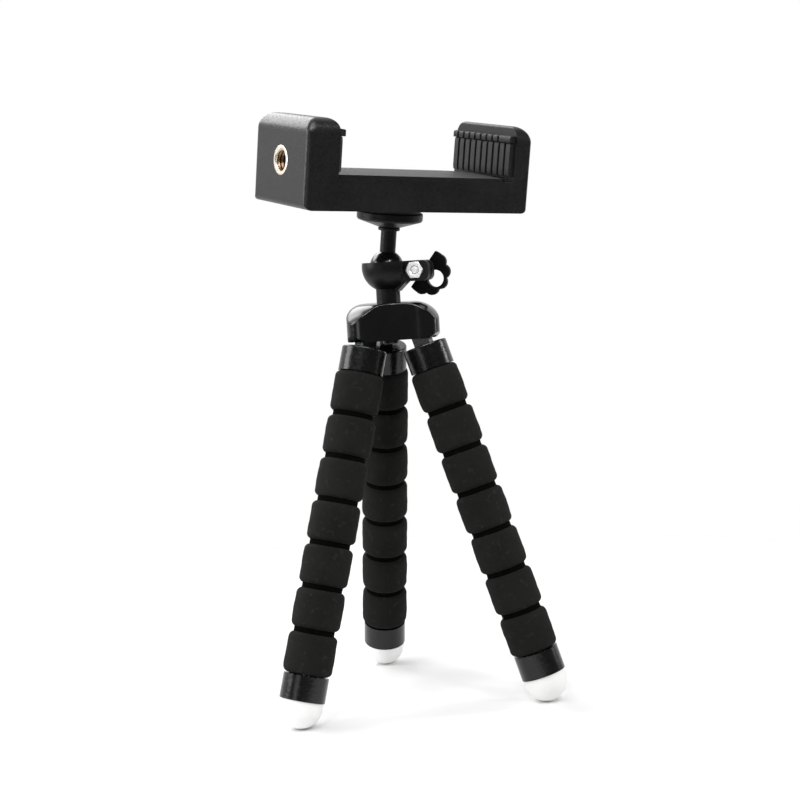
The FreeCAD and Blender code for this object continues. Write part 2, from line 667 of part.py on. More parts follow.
def clip_base():
    """The fixed jaw and the open channel that the moving jaw's arms run in."""
    jaw = jaw_block(-CLIP_LEFT, FIXED_FACE, CORNER_ROUND_FIXED, TOP_ROUND_FIXED, INNER_ROUND_FIXED)
    trough = block(FIXED_FACE - OVERRUN, MOVING_FACE, -CLIP_HALF, CLIP_HALF, 0, WALL_TOP)
    base = jaw.fuse(trough).removeSplitter()
    inner = CLIP_HALF - SIDE_WALL
    end = MOVING_FACE + OVERRUN
    room = block(FIXED_FACE, end, -inner, inner, FLOOR, LEDGE_TOP)
    ledge_inner = CLIP_HALF - COVER_INSET
    room = room.fuse(block(FIXED_FACE, end, -ledge_inner, ledge_inner, LEDGE_TOP, WALL_TOP + OVERRUN))
    base = base.cut(room)
    for place in COVER_SCREW_PLACES:
        under = V(place, 0, -OVERRUN)
        base = base.fuse(rod(COVER_SCREW_HEAD + SCREW_BOSS_WALL, LEDGE_TOP - FLOOR, V(place, 0, FLOOR)))
        base = base.cut(rod(COVER_SCREW_RADIUS + SLIP / 2, WALL_TOP + OVERRUN, under))
        base = base.cut(rod(COVER_SCREW_HEAD + SLIP, OVERRUN + FLOOR, under))
    base = base.fuse(rod(BASE_BOSS_RADIUS, BASE_INSERT_LENGTH + OVERRUN - FLOOR, V(0, 0, FLOOR)))
    base = base.cut(rod(INSERT_RADIUS, BASE_INSERT_LENGTH + OVERRUN, V(0, 0, -OVERRUN)))
    base = base.cut(rod(STUD_RADIUS + SLIP, 3 * OVERRUN, V(0, 0, BASE_INSERT_LENGTH - OVERRUN)))
    for side in (-1, 1):
        peg_at = V(spring_fixed_x(), side * SPRING_OUT, FLOOR)
        base = base.fuse(rod(SPRING_PEG_RADIUS, LEDGE_TOP - FLOOR, peg_at))
    start = V(-CLIP_LEFT - OVERRUN, 0, INSERT_HEIGHT)
    base = base.cut(rod(INSERT_RADIUS, INSERT_LENGTH + OVERRUN, start, V(1, 0, 0)))
    return base.cut(rod(INSERT_FLANGE, OVERRUN + FLANGE_THICKNESS, start, V(1, 0, 0)))


def spring_fixed_x():
    return FIXED_FACE + SPRING_PEG_FIXED


def spring_moving_x():
    return MOVING_FACE - ARM_LENGTH + SPRING_PEG_MOVING


def clip_cover():
    """The raised plate over the channel, slightly crowned across."""
    half = CLIP_HALF - COVER_INSET - SLIDE
    x0 = FIXED_FACE + COVER_END_GAP_LEFT
    x1 = MOVING_FACE - COVER_END_GAP_RIGHT
    edge_top = COVER_TOP - COVER_CROWN
    outline = [V(x0, -half, LEDGE_TOP), V(x0, half, LEDGE_TOP), V(x0, half, edge_top)]
    wires = Part.makePolygon(outline)
    crown = Part.Arc(V(x0, half, edge_top), V(x0, 0, COVER_TOP), V(x0, -half, edge_top)).toShape()
    close = Part.makeLine(V(x0, -half, edge_top), V(x0, -half, LEDGE_TOP))
    cover = Part.Face(Part.Wire(wires.Edges + [crown, close])).extrude(V(x1 - x0, 0, 0))
    inner = CLIP_HALF - SIDE_WALL - COVER_WALL_GAP
    roof = edge_top - COVER_THICKNESS
    hollow = block(x0 + COVER_END_WALL, x1 - COVER_END_WALL, -inner, inner, LEDGE_TOP - OVERRUN, roof)
    cover = cover.cut(hollow)
    for place in COVER_SCREW_PLACES:
        height = roof + COVER_THICKNESS / 2 - LEDGE_TOP
        boss = rod(COVER_SCREW_HEAD + COVER_BOSS_WALL, height, V(place, 0, LEDGE_TOP))
        depth = OVERRUN + COVER_SCREW_GRIP + SLIP
        cover = cover.fuse(boss).cut(rod(COVER_SCREW_RADIUS, depth, V(place, 0, LEDGE_TOP - OVERRUN)))
    return cover


def cover_screw(place):
    head = rod(COVER_SCREW_HEAD, FLOOR - COVER_SCREW_SINK, V(place, 0, COVER_SCREW_SINK))
    return head.fuse(rod(COVER_SCREW_RADIUS - RUN, LEDGE_TOP + COVER_SCREW_GRIP - FLOOR, V(place, 0, FLOOR)))


def moving_jaw():
    """The end jaw with two long arms that slide in the channel beside the boss and screws."""
    inner = MOVING_FACE + FACE_GAP
    jaw = jaw_block(CLIP_RIGHT, inner, CORNER_ROUND_MOVING, TOP_ROUND_MOVING, INNER_ROUND_MOVING)
    outer = CLIP_HALF - SIDE_WALL - SLIDE
    low = FLOOR + SLIDE
    top = low + ARM_HEIGHT
    start = MOVING_FACE - ARM_LENGTH
    lane_end = MOVING_FACE - LANE_END
    lane_half = SPRING_RADIUS + LANE_SIDE
    for side in (-1, 1):
        y0, y1 = sorted((side * ARM_INNER, side * outer))
        arm = block(start, MOVING_FACE + OVERRUN, y0, y1, low, top)
        y0 = side * SPRING_OUT - lane_half
        y1 = side * SPRING_OUT + lane_half
        lane = block(start - OVERRUN, lane_end, y0, y1, low - OVERRUN, top + OVERRUN)
        bridge = block(start, start + ARM_BRIDGE, y0 - LANE_SIDE, y1 + LANE_SIDE, low, low + BRIDGE_HEIGHT)
        peg = rod(SPRING_PEG_RADIUS, ARM_HEIGHT - LANE_SIDE, V(spring_moving_x(), side * SPRING_OUT, low))
        jaw = jaw.fuse([arm.cut(lane), bridge, peg])
    return jaw


def clip_pad(face, direction):
    """A ribbed rubber pad on a jaw's inner face, with a lip at its top; direction is 1 if it faces +X."""
    half = PAD_WIDTH / 2
    low = COVER_TOP + PAD_ABOVE_COVER
    lip_low = LIP_TOP - LIP_HEIGHT
    reach = PAD_THICKNESS + LIP_REACH
    outline = [(FACE_GAP, low), (PAD_THICKNESS, low), (PAD_THICKNESS, lip_low), (reach, lip_low),
               (reach, lip_low + LIP_EDGE), (PAD_THICKNESS, LIP_TOP), (FACE_GAP, LIP_TOP), (FACE_GAP, low)]
    outline = Part.makePolygon([V(face + direction * x, -half, z) for x, z in outline])
    pad = Part.Face(outline).extrude(V(0, PAD_WIDTH, 0))
    root = face + direction * (PAD_THICKNESS - RIB_BITE)
    x0, x1 = sorted((root, face + direction * (PAD_THICKNESS + RIB_HEIGHT)))
    pitch = PAD_WIDTH / PAD_RIBS
    for index in range(PAD_RIBS):
        middle = -half + pitch * (index + 0.5)
        pad = pad.fuse(block(x0, x1, middle - RIB_WIDTH / 2, middle + RIB_WIDTH / 2, low, lip_low + RIB_BITE))
    return pad.removeSplitter()


def thread_insert(radius, flange, length, at, along):
    body = rod(radius, length, at, along)
    if flange:
        body = body.fuse(rod(flange, FLANGE_THICKNESS, at, along))
    return body.cut(rod(INSERT_BORE, length + 2 * OVERRUN, at - along * OVERRUN, along))


def clip_springs():
    start = spring_fixed_x() + SPRING_PEG_RADIUS + SPRING_HOOK_GAP
    end = spring_moving_x() - SPRING_PEG_RADIUS - SPRING_HOOK_GAP
    along = V(1, 0, 0)
    coils = []
    for side in (-1, 1):
        at = V(start, side * SPRING_OUT, SPRING_HEIGHT)
        tube = rod(SPRING_RADIUS, end - start, at, along)
        inside = rod(SPRING_RADIUS - SPRING_WIRE, end - start + 2 * OVERRUN, at - along * OVERRUN, along)
        coils.append(tube.cut(inside))
    return coils


def build_clip():
    add("clip_base", in_clip(clip_base()))
    add("clip_cover_plate", in_clip(clip_cover()))
    add("cover_screws", *[in_clip(cover_screw(place)) for place in COVER_SCREW_PLACES])
    add("moving_jaw", in_clip(moving_jaw()))
    add("fixed_jaw_pad", in_clip(clip_pad(FIXED_FACE, 1)))
    add("moving_jaw_pad", in_clip(clip_pad(MOVING_FACE, -1)))
    end = V(-CLIP_LEFT, 0, INSERT_HEIGHT)
    end_insert = thread_insert(INSERT_RADIUS, INSERT_FLANGE, INSERT_LENGTH, end, V(1, 0, 0))
    add("end_thread_insert", in_clip(end_insert))
    base_insert = thread_insert(INSERT_RADIUS, 0, BASE_INSERT_LENGTH, V(0, 0, 0), V(0, 0, 1))
    add("base_thread_insert", in_clip(base_insert))
    add("clip_springs", *[in_clip(coil) for coil in clip_springs()])


def build():
    build_legs()
    build_hub()
    build_clamp()
    build_head()
    build_clip()


def write():
    for name, shape in nodes.items():
        shape.exportStep(os.path.join("parts", name + ".step"))


build()
write()
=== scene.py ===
"""Looks of the phone tripod: a spring phone clip on a small ball head with three foam-covered legs."""
import math

import bpy
import numpy as np
from mathutils import Matrix


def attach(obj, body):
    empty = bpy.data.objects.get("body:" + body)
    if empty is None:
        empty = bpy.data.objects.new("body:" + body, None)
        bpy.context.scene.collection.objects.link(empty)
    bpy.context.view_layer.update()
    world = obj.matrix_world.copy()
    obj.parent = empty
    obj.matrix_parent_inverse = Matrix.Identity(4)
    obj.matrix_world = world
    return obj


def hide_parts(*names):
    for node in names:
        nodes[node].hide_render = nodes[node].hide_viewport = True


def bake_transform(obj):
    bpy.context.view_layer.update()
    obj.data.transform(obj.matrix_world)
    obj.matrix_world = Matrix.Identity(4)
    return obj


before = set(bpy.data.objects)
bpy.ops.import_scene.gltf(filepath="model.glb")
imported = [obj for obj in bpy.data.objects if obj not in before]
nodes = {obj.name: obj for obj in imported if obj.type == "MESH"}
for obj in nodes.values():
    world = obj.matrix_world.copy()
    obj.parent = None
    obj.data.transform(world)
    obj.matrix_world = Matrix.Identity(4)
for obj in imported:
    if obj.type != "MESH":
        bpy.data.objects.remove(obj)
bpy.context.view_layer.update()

# The part's own dimensions, millimetres
MM = 0.001
AXIS_X, AXIS_Y = 4.82, -4.3
LEG_ANGLES = (-170.0, -50.0, 70.0)
LEG_SPLAY = 17.6
PIN_CIRCLE, PIN_HEIGHT = 10.4, 130.744
FOAM_BULGES, FOAM_PITCH, FOAM_START, FOAM_END_GAP = 7, 14.9, 14.5, 0.3
FOAM_RADIUS, FOAM_NECK, FOAM_GROOVE, FOAM_CORNER = 8.5, 7.2, 1.6, 1.9
FERRULE_END, PLUG_LENGTH = 127.2, 2.4
WIRE_RADIUS, WIRE_TOP = 1.2, 6.9
HUB_TOP, BALL_ABOVE_HUB = 140.544, 12.4
BALL_HEIGHT = HUB_TOP + BALL_ABOVE_HUB
EAR_ANGLE, EAR_HALF = LEG_ANGLES[1], 3.6
BOLT_OUT, BOLT_HEIGHT, BOLT_RADIUS, BOLT_END_INSET = 11.2, -1.5, 1.5, 0.1
BOLT_HEAD_RADIUS, BOLT_HEAD_LENGTH, FAN_START = 2.1, 2.0, 6.3
NUT_FLATS, NUT_THICKNESS, NUT_PROUD = 5.5, 2.4, 0.25
NUT_BORE = BOLT_RADIUS + 0.2
TILT_FORWARD, TILT_SIDE = 9.2, 2.6
CLIP_BASE_Z = 21.0
CLIP_LEFT = 43.7
FIXED_FACE, MOVING_FACE = -32.0, 38.0
COVER_TOP = 12.3
INSERT_RADIUS, INSERT_FLANGE, INSERT_BORE = 4.6, 5.0, 3.175
INSERT_LENGTH, INSERT_HEIGHT, BASE_INSERT_LENGTH = 8.0, 14.9, 5.4
SPRING_START, SPRING_END = -27.9, -7.7
SPRING_OUT, SPRING_HEIGHT, SPRING_RADIUS = 11.0, 5.4, 1.9
PAD_WIDTH, PAD_THICKNESS, PAD_RIBS, RIB_HEIGHT = 36.0, 1.0, 10, 0.7
PAD_LOW = COVER_TOP + 0.3
RIB_PITCH = PAD_WIDTH / PAD_RIBS
LIP_TOP, LIP_HEIGHT, LIP_REACH = 26.6, 2.4, 1.4

# Small forms that only the looks have, millimetres
COLLAR_GAP = 0.1                        # between a collar and the first bulge
BULGE_DRAW, SKIN_INSET = 0.12, 0.06
NECK_WAIST, NECK_OVERLAP = 0.2, 1.3     # how far a neck dips, and how far it reaches into each bulge
WIRE_EASE, WIRE_END_GAP = 0.03, 0.05
CAMERA_PITCH, CAMERA_DEPTH = 1.27, 0.42     # the quarter-inch thread, twenty turns to the inch
M3_PITCH, M3_DEPTH = 0.5, 0.24
SPRING_WIRE, SPRING_TURNS = 0.24, 34
RIB_GROOVE = 0.6


# Places

def turned_about(points, axis, degrees):
    """Points turned about x, y or z: the two other coordinates mixed by the angle's cosine and sine."""
    a = math.radians(degrees)
    i, j = {"x": (1, 2), "y": (2, 0), "z": (0, 1)}[axis]
    out = np.array(points, float)
    out[..., i] = points[..., i] * math.cos(a) - points[..., j] * math.sin(a)
    out[..., j] = points[..., i] * math.sin(a) + points[..., j] * math.cos(a)
    return out


def on_leg(angle):
    """Placing for a leg's frame, which hangs down -Z from its pin with +X away from the hub."""
    def place(points):
        spread = turned_about(points, "y", -LEG_SPLAY) + (PIN_CIRCLE, 0, PIN_HEIGHT)
        return turned_about(spread, "z", angle) + (AXIS_X, AXIS_Y, 0)
    return place


def on_bolt(points):
    """From a form along Z, which runs along the clamp's bolt from the nut to the knob. The ears lie along
    the clamp's own x, its y is the bolt's direction, and its origin is the ball's centre."""
    along = np.stack([points[..., 0] + BOLT_OUT, points[..., 2], -points[..., 1] + BOLT_HEIGHT], -1)
    return turned_about(along, "z", EAR_ANGLE) + (AXIS_X, AXIS_Y, BALL_HEIGHT)


def on_head(points):
    """From the head's frame: z along the stem, origin at the ball's centre."""
    tilted = turned_about(turned_about(points, "y", TILT_SIDE), "x", TILT_FORWARD)
    return tilted + (AXIS_X, AXIS_Y, BALL_HEIGHT)


def on_clip(points):
    """From the clip's frame: its underside at z = 0 over the stem's axis."""
    return on_head(points + np.array((0, 0, CLIP_BASE_Z)))


def on_clip_end(points):
    """From a form along Z, which runs into the clip from its left end."""
    inward = [points[..., 2] - CLIP_LEFT, points[..., 1], -points[..., 0] + INSERT_HEIGHT]
    return on_clip(np.stack(inward, -1))


def spot(place, *point):
    """One point in its place, in metres."""
    return place(np.array(point, float)) * MM


# Surfaces

def around(steps):
    """Evenly spaced angles once round."""
    return np.arange(steps) * 2 * math.pi / steps


def grid_faces(rows, cols, round_rows=False):
    """Quads of a grid whose columns go round, and whose rows do too if round_rows is true."""
    r, c = np.meshgrid(np.arange(rows if round_rows else rows - 1), np.arange(cols), indexing="ij")
    r1, c1 = (r + 1) % rows, (c + 1) % cols
    return np.stack([r * cols + c, r * cols + c1, r1 * cols + c1, r1 * cols + c], -1).reshape(-1, 4).tolist()


def capped(rings):
    """A closed form from an array of rings: quads between rings, and a fan to each end ring's middle."""
    rows, cols = rings.shape[:2]
    points = np.concatenate([rings.reshape(-1, 3), rings[:1].mean(1), rings[-1:].mean(1)])
    c = np.arange(cols)
    c1 = (c + 1) % cols
    first = np.stack([c1, c, np.full(cols, rows * cols)], -1)
    last = np.stack([(rows - 1) * cols + c, (rows - 1) * cols + c1, np.full(cols, rows * cols + 1)], -1)
    return points, grid_faces(rows, cols) + first.tolist() + last.tolist()


def sliced(rings):
    """A closed form from an array of flat rings whose ends are the end rings themselves, hollows and all."""
    rows, cols = rings.shape[:2]
    first = list(range(cols))[::-1]
    last = list(range((rows - 1) * cols, rows * cols))
    return rings.reshape(-1, 3), grid_faces(rows, cols) + [first, last]


def ringed(rings):
    """A closed form round a hole: the last ring joins the first."""
    rows, cols = rings.shape[:2]
    return rings.reshape(-1, 3), grid_faces(rows, cols, True)


def joined(*forms):
    """Several closed forms as one list of points and faces."""
    points, faces, start = [], [], 0
    for form_points, form_faces in forms:
        points.append(form_points)
        faces += [[i + start for i in face] for face in form_faces]
        start += len(form_points)
    return np.concatenate(points), faces


def half_turned(form):
    """A form turned half round about X, so that it points the other way along Z."""
    points, faces = form
    return points * (1, -1, -1), faces


def about_z(radius, height, steps):
    """Rings about Z: a height by profile point, and a radius by profile point, or by point and angle."""
    a = around(steps)
    radius = radius.reshape(len(height), -1)
    return np.stack(np.broadcast_arrays(radius * np.cos(a), radius * np.sin(a), height[:, None]), -1)


def piece(name, form, place, finish, sharp=40.0, tone=None):
    """A mesh object of a form put in its place, in metres, smooth but for corners over so many degrees. Its
    tone, where given, is a number from nought to one at each point, which the finish reads."""
    points, faces = form
    mesh = bpy.data.meshes.new(name)
    mesh.from_pydata((place(points) * MM).tolist(), [], faces)
    mesh.validate()
    mesh.shade_smooth()
    mesh.set_sharp_from_angle(angle=math.radians(sharp))
    mesh.materials.append(finish)
    if tone is not None:
        layer = mesh.attributes.new("tone", "FLOAT", "POINT")
        layer.data.foreach_set("value", tone.ravel().astype(np.float32))
    obj = bpy.data.objects.new(name, mesh)
    bpy.context.scene.collection.objects.link(obj)
    return obj


# Finishes

def new_material(name, colour, roughness, metallic=0.0, specular=0.5):
    """A material with a Principled shader, and its node tree."""
    mat = bpy.data.materials.new(name)
    mat.use_nodes = True
    tree = mat.node_tree
    shader = tree.nodes["Principled BSDF"]
    shader.inputs["Base Color"].default_value = (*colour, 1)
    shader.inputs["Roughness"].default_value = roughness
    shader.inputs["Metallic"].default_value = metallic
    shader.inputs["Specular IOR Level"].default_value = specular
    return mat, tree, shader


def node(tree, kind, **values):
    """A node of a kind, with its inputs set by name."""
    made = tree.nodes.new(kind)
    for key, value in values.items():
        made.inputs[key.replace("_", " ")].default_value = value
    return made


def noise(tree, scale, detail=3.0, rough=0.55, stretch=None):
    """Noise by the piece's own place, with its features one over scale of a metre."""
    where = tree.nodes.new("ShaderNodeTexCoord").outputs["Object"]
    if stretch:
        mapping = node(tree, "ShaderNodeMapping", Scale=stretch)
        tree.links.new(where, mapping.inputs["Vector"])
        where = mapping.outputs["Vector"]
    made = node(tree, "ShaderNodeTexNoise", Scale=scale, Detail=detail, Roughness=rough)
    tree.links.new(where, made.inputs["Vector"])
    return made.outputs["Fac"]


def cells(tree, scale, feature="F1"):
    """Voronoi distance by the piece's own place, with its cells one over scale of a metre."""
    where = tree.nodes.new("ShaderNodeTexCoord").outputs["Object"]
    made = node(tree, "ShaderNodeTexVoronoi", Scale=scale)
    made.feature = feature
    tree.links.new(where, made.inputs["Vector"])
    return made.outputs["Distance"]


def ramp(tree, source, low, high, start=0.3, end=0.7):
    """A colour or grey that goes from low to high as the source goes from start to end."""
    made = tree.nodes.new("ShaderNodeValToRGB")
    first, last = made.color_ramp.elements
    first.position, last.position = start, end
    first.color = (*low, 1) if isinstance(low, tuple) else (low, low, low, 1)
    last.color = (*high, 1) if isinstance(high, tuple) else (high, high, high, 1)
    tree.links.new(source, made.inputs["Fac"])
    return made.outputs["Color"]


def mixed(tree, factor, low, high):
    """Two colours, each a socket or three numbers, mixed by a factor."""
    mix = tree.nodes.new("ShaderNodeMix")
    mix.data_type = "RGBA"
    tree.links.new(factor, mix.inputs["Factor"])
    for socket, value in ((mix.inputs["A"], low), (mix.inputs["B"], high)):
        if isinstance(value, tuple):
            socket.default_value = (*value, 1)
        else:
            tree.links.new(value, socket)
    return mix.outputs["Result"]


def by_tone(tree, low, high):
    """A colour that goes from low to high with the piece's own tone."""
    made = tree.nodes.new("ShaderNodeAttribute")
    made.attribute_name = "tone"
    return mixed(tree, made.outputs["Fac"], low, high)


def relief(tree, shader, *layers):
    """Bump layers on a shader, each a source, a depth in millimetres and a strength."""
    normal = None
    for source, depth, strength in layers:
        bump = node(tree, "ShaderNodeBump", Strength=strength, Distance=depth * MM)
        tree.links.new(source, bump.inputs["Height"])
        if normal:
            tree.links.new(normal, bump.inputs["Normal"])
        normal = bump.outputs["Normal"]
    tree.links.new(normal, shader.inputs["Normal"])


def moulded(name, dark, light, rough, grain, depth, specular=0.5):
    """Moulded plastic or rubber: cloudy tone between two colours, gloss between two roughnesses, and a fine
    grain of the mould, its features one over grain of a metre and its depth in millimetres."""
    mat, tree, shader = new_material(name, light, rough[0], specular=specular)
    cloud = noise(tree, 90.0, 4.0)
    fine = noise(tree, grain, 2.0)
    tree.links.new(ramp(tree, cloud, dark, light), shader.inputs["Base Color"])
    tree.links.new(ramp(tree, fine, rough[0], rough[1], 0.25, 0.75), shader.inputs["Roughness"])
    relief(tree, shader, (cloud, depth * 2, 0.15), (fine, depth, 0.6))
    return mat


def metal(name, dark, light, rough):
    """Plated or drawn metal: fine marks across Z, a little stain and uneven gloss."""
    mat, tree, shader = new_material(name, light, rough[0], metallic=1.0)
    stain = noise(tree, 260.0, 5.0)
    marks = noise(tree, 1500.0, 3.0, stretch=(1.0, 1.0, 4.0))
    tree.links.new(ramp(tree, stain, dark, light, 0.25, 0.6), shader.inputs["Base Color"])
    tree.links.new(ramp(tree, marks, rough[0], rough[1]), shader.inputs["Roughness"])
    relief(tree, shader, (marks, 0.01, 0.35))
    return mat


FOAM_TONES = ((0.0068, 0.0068, 0.0065), (0.0104, 0.0103, 0.0096), (0.024, 0.024, 0.022))


def foam_skin(name, shade):
    """Closed-cell foam of a shade: small open cells, soft lumps, and dusty lighter spots. The shade scales
    its colours and gloss; a shade under one is painted shade.
    """
    mat, tree, shader = new_material(name, (0.008, 0.008, 0.0075), 0.92, specular=0.12 * shade)
    pores = cells(tree, 2600.0)
    lumps = noise(tree, 420.0, 5.0, 0.6)
    cloud = noise(tree, 70.0, 3.0)
    dark, light, dusty = (tuple(shade * c for c in colour) for colour in FOAM_TONES)
    tone = ramp(tree, cloud, dark, light)
    dust = ramp(tree, lumps, 0.0, 1.0, 0.56, 0.80)
    tree.links.new(mixed(tree, dust, tone, dusty), shader.inputs["Base Color"])
    tree.links.new(ramp(tree, lumps, 0.84, 0.97), shader.inputs["Roughness"])
    relief(tree, shader, (lumps, 0.12, 0.5), (pores, 0.06, 0.5))
    return mat


def rib_rubber():
    """Pad rubber with rubbed paler specks, and painted shade by its tone: near black in the grooves, darker
    on the lip.
    """
    mat, tree, shader = new_material("ribbed_pad_rubber", (0.02, 0.02, 0.02), 0.5, specular=0.35)
    cloud = noise(tree, 300.0, 4.0)
    fine = noise(tree, 2000.0, 2.0)
    rubbed = ramp(tree, cloud, (0.004, 0.004, 0.004), (0.007, 0.007, 0.007))
    crest = mixed(tree, ramp(tree, fine, 0.1, 0.7), rubbed, (0.014, 0.014, 0.014))
    # Painted shade: the tone takes the colour to near black in the grooves and darker on the lip.
    tree.links.new(by_tone(tree, (0.0020, 0.0020, 0.0020), crest), shader.inputs["Base Color"])
    tree.links.new(ramp(tree, fine, 0.42, 0.60), shader.inputs["Roughness"])
    relief(tree, shader, (fine, 0.03, 0.6))
    return mat


def thread_brass():
    """Turned brass that is pale on the rim, with painted shade that makes it dark brown down in the thread.
    """
    mat, tree, shader = new_material("bush_brass", (0.8, 0.7, 0.6), 0.3, metallic=1.0)
    stain = noise(tree, 420.0, 5.0)
    marks = noise(tree, 1500.0, 3.0)
    pale = ramp(tree, stain, (0.66, 0.54, 0.42), (0.88, 0.80, 0.72), 0.25, 0.6)
    # Painted shade: the tone takes the brass to dark brown down in the bore's thread.
    tree.links.new(by_tone(tree, pale, (0.20, 0.125, 0.075)), shader.inputs["Base Color"])
    tree.links.new(ramp(tree, marks, 0.26, 0.40), shader.inputs["Roughness"])
    relief(tree, shader, (marks, 0.01, 0.35))
    return mat


def grained_cover():
    """The cover plate's dull leather-like grain: shallow pebbles with finer grit, and painted shade that
    makes its side faces near black.
    """
    mat, tree, shader = new_material("grained_cover", (0.02, 0.02, 0.019), 0.6, specular=0.4)
    pebbles = cells(tree, 1300.0, "SMOOTH_F1")
    grit = noise(tree, 3200.0, 2.0)
    face = ramp(tree, grit, (0.006, 0.006, 0.0055), (0.024, 0.024, 0.022))
    # Painted shade: faces that turn from upward to the side go near black.
    apart = tree.nodes.new("ShaderNodeSeparateXYZ")
    tree.links.new(tree.nodes.new("ShaderNodeTexCoord").outputs["Normal"], apart.inputs["Vector"])
    upward = ramp(tree, apart.outputs["Z"], 0.0, 1.0, 0.45, 0.75)
    tree.links.new(mixed(tree, upward, (0.0012, 0.0012, 0.0012), face), shader.inputs["Base Color"])
    tree.links.new(ramp(tree, grit, 0.42, 0.62), shader.inputs["Roughness"])
    relief(tree, shader, (pebbles, 0.10, 0.7), (grit, 0.05, 0.6))
    return mat


satin_black = moulded("satin_black_plastic", dark=(0.0038, 0.0040, 0.0039), light=(0.0078, 0.0080, 0.0078),
                      rough=(0.27, 0.43), grain=1300.0, depth=0.075, specular=0.34)
gloss_black = moulded("gloss_black_plastic", dark=(0.0030, 0.0030, 0.0032), light=(0.0048, 0.0048, 0.0052),
                      rough=(0.13, 0.22), grain=700.0, depth=0.006)
stem_black = moulded("semi_gloss_black_plastic", dark=(0.0036, 0.0036, 0.0038),
                     light=(0.0056, 0.0056, 0.0059), rough=(0.34, 0.44), grain=1100.0, depth=0.03,
                     specular=0.2)
sleeve_black = moulded("sleeve_black_plastic", dark=(0.0014, 0.0014, 0.0015), light=(0.0034, 0.0034, 0.0036),
                       rough=(0.19, 0.29), grain=900.0, depth=0.11, specular=0.42)
knob_black = moulded("dull_black_plastic", dark=(0.0018, 0.0018, 0.0018), light=(0.0030, 0.0030, 0.0030),
                     rough=(0.40, 0.52), grain=1100.0, depth=0.02, specular=0.12)
pad_rubber = moulded("pad_rubber", dark=(0.008, 0.008, 0.008), light=(0.013, 0.013, 0.013),
                     rough=(0.5, 0.66), grain=2000.0, depth=0.03)
foot_rubber = moulded("white_foot_rubber", dark=(0.83, 0.83, 0.82), light=(0.88, 0.88, 0.875),
                      rough=(0.42, 0.55), grain=900.0, depth=0.01)
bright_steel = metal("nickel_plated_steel", dark=(0.86, 0.86, 0.86), light=(0.95, 0.95, 0.94),
                     rough=(0.52, 0.66))
soft_steel = metal("annealed_wire", dark=(0.30, 0.29, 0.28), light=(0.48, 0.47, 0.46), rough=(0.40, 0.60))
black_steel = metal("blackened_steel", dark=(0.03, 0.03, 0.03), light=(0.06, 0.06, 0.06), rough=(0.34, 0.48))
foam = foam_skin("closed_cell_foam", 1.0)
# Painted shade: the necks down in the grooves take the same foam at a fifth of its colour and gloss.
groove_foam_painted_shade = foam_skin("closed_cell_foam_painted_groove_shade", 0.2)
rib_black = rib_rubber()
bush_brass = thread_brass()
cover_grain = grained_cover()


# Foam of the legs

def skin_waves(angle, height, seed):
    """Slight unevenness of the foam's skin in millimetres: three sines of angle, height and a seed."""
    return (0.05 * np.sin(2 * angle + 0.5 * height + seed)
            + 0.035 * np.sin(5 * angle - 0.9 * height + 2.3 * seed)
            + 0.02 * np.sin(9 * angle + 1.7 * height + 4.1 * seed))


def foam_bulge(index, seed):
    """A bulge about the leg's axis: flat ends, quarter-round corners and a side that draws in towards both
    ends by the square of the height, all with the skin's waves added to the radius."""
    steps = 72
    above = COLLAR_GAP if index == 0 else FOAM_GROOVE / 2
    below = FOAM_END_GAP if index == FOAM_BULGES - 1 else FOAM_GROOVE / 2
    top = -FOAM_START - index * FOAM_PITCH - above
    low = -FOAM_START - (index + 1) * FOAM_PITCH + below
    half, middle = (top - low) / 2, (top + low) / 2
    core = FOAM_RADIUS - FOAM_CORNER
    face = np.array([0.25, 0.6, 0.85]) * core
    end = np.full(len(face), half)
    quarter = np.linspace(0, math.pi / 2, 9)
    side = np.linspace(-1, 1, 19)[1:-1] * (half - FOAM_CORNER)
    radius = np.concatenate([face, core + FOAM_CORNER * np.sin(quarter), np.full(len(side), FOAM_RADIUS),
                             core + FOAM_CORNER * np.cos(quarter), face[::-1]])
    height = np.concatenate([-end, -half + FOAM_CORNER * (1 - np.cos(quarter)), side,
                             half - FOAM_CORNER + FOAM_CORNER * np.sin(quarter), end])
    share = (radius / FOAM_RADIUS)[:, None]
    drawn = BULGE_DRAW * (height / half)[:, None] ** 2 * share ** 4
    skin = skin_waves(around(steps), height[:, None], seed) * share ** 2
    return capped(about_z(radius[:, None] - drawn + skin - SKIN_INSET, height + middle, steps))


def foam_neck(boundary, seed):
    """The thinner foam in a groove: a sleeve that dips in the middle by one minus the height squared."""
    steps = 64
    t = np.linspace(-1, 1, 15)
    height = t * (FOAM_GROOVE / 2 + NECK_OVERLAP) - boundary
    sleeve = FOAM_NECK - NECK_WAIST * (1 - t ** 2)
    radius = sleeve[:, None] + skin_waves(around(steps), height[:, None], seed)
    return capped(about_z(radius, height, steps))


def wire_run(top, low):
    """A straight run of the core wire: a round rod with rings enough to bend smoothly."""
    height = np.linspace(-low, -top, 15)
    return capped(about_z(np.full(len(height), WIRE_RADIUS - WIRE_EASE), height, 14))


